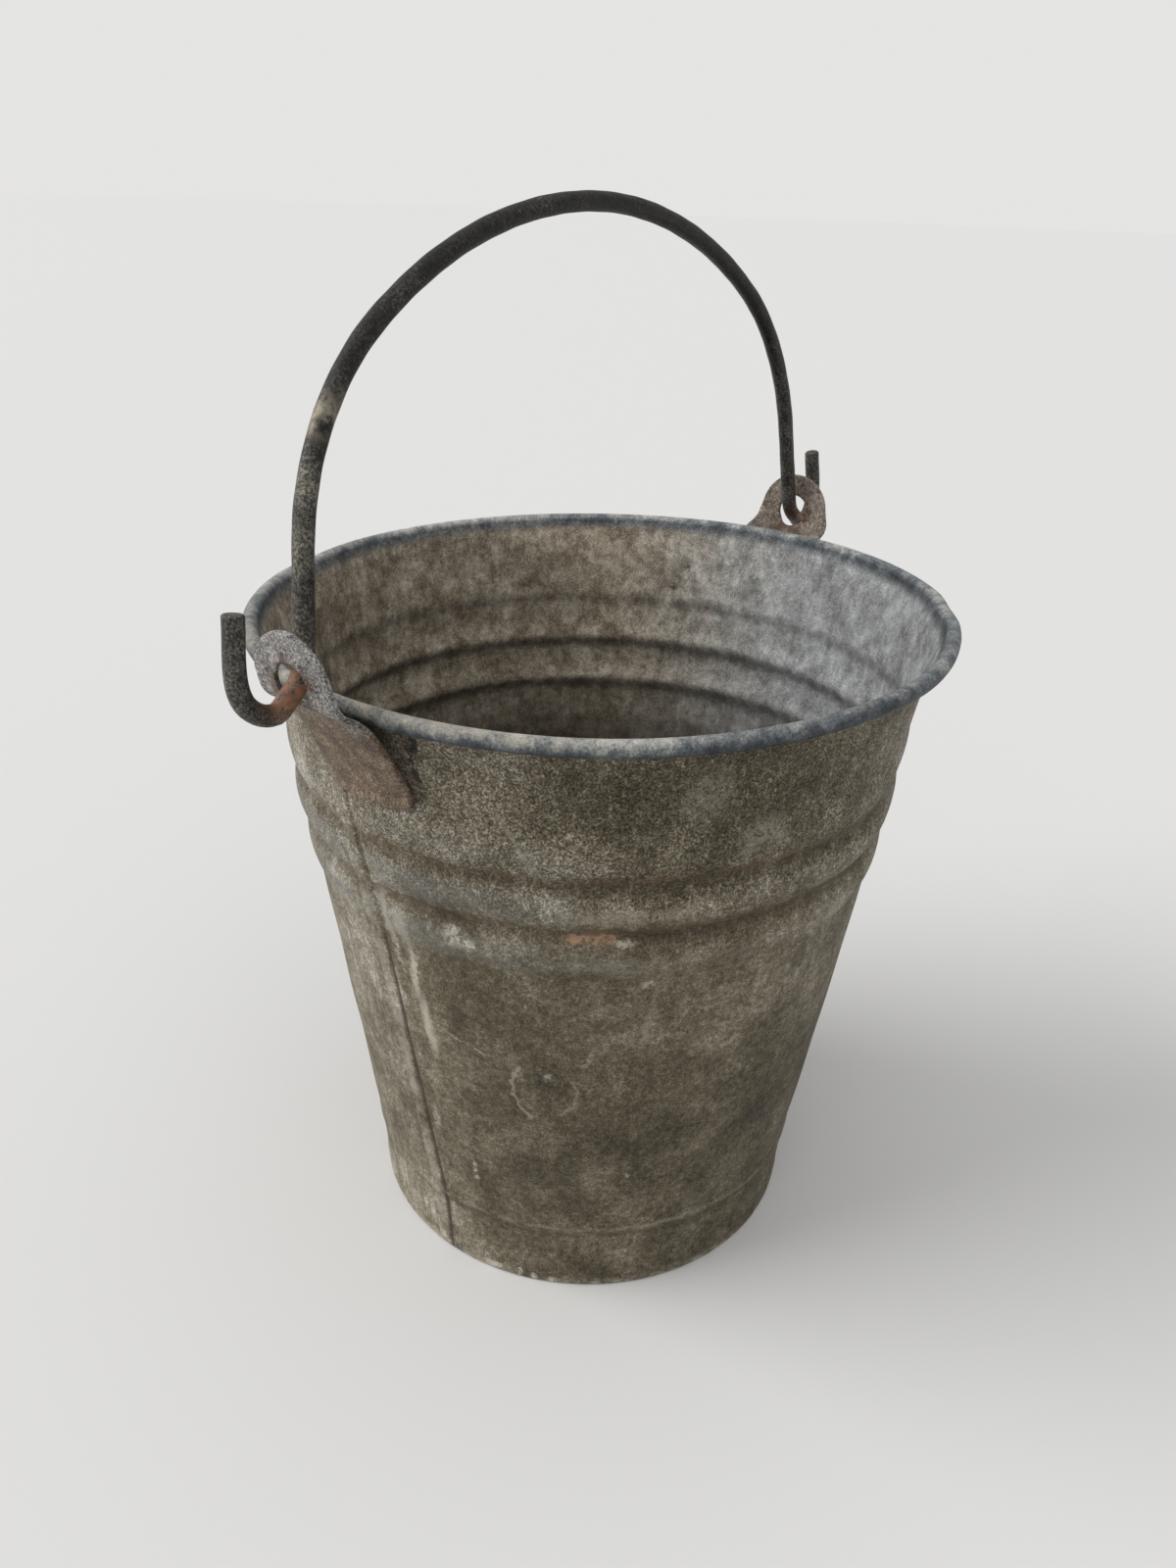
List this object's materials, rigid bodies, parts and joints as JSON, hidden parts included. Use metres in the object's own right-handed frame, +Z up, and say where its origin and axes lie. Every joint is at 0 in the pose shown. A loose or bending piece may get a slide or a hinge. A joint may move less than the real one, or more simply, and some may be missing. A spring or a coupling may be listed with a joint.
{
  "type": "rusty metal bucket",
  "caption": "Small round tapered bucket of aged zinc-coated sheet steel, with a rolled wired rim, swaged bands, side ears and a swinging wire bail.",
  "frame": {"origin": "centre of the foot on the floor", "axes": "+Z up; X along the bail's hinge line, the seam side's ear at -X; Y across it"},
  "size_m": [0.3136, 0.2395, 0.3665],
  "materials": {
    "aged_zinc_wall": "dull weathered zinc with brown stains",
    "aged_zinc_bottom": "dull stained zinc",
    "rim_wire_steel": "dull steel",
    "ear_zinc": "dull zinc with rust",
    "bail_steel": "blackened steel with rust in the hooks"
  },
  "bodies": {
    "bucket": {"wall": "aged_zinc_wall", "rim_wire": "rim_wire_steel", "bottom": "aged_zinc_bottom", "ear_left": "ear_zinc", "ear_right": "ear_zinc"},
    "bail": {"bail": "bail_steel"}
  },
  "joints": [
    {"name": "bail_hinge", "type": "hinge", "parent": "bucket", "child": "bail", "pos_m": [0, 0, 0.2479], "axis": [1, 0, 0], "range_deg": [-86.5, 95.5]}
  ]
}
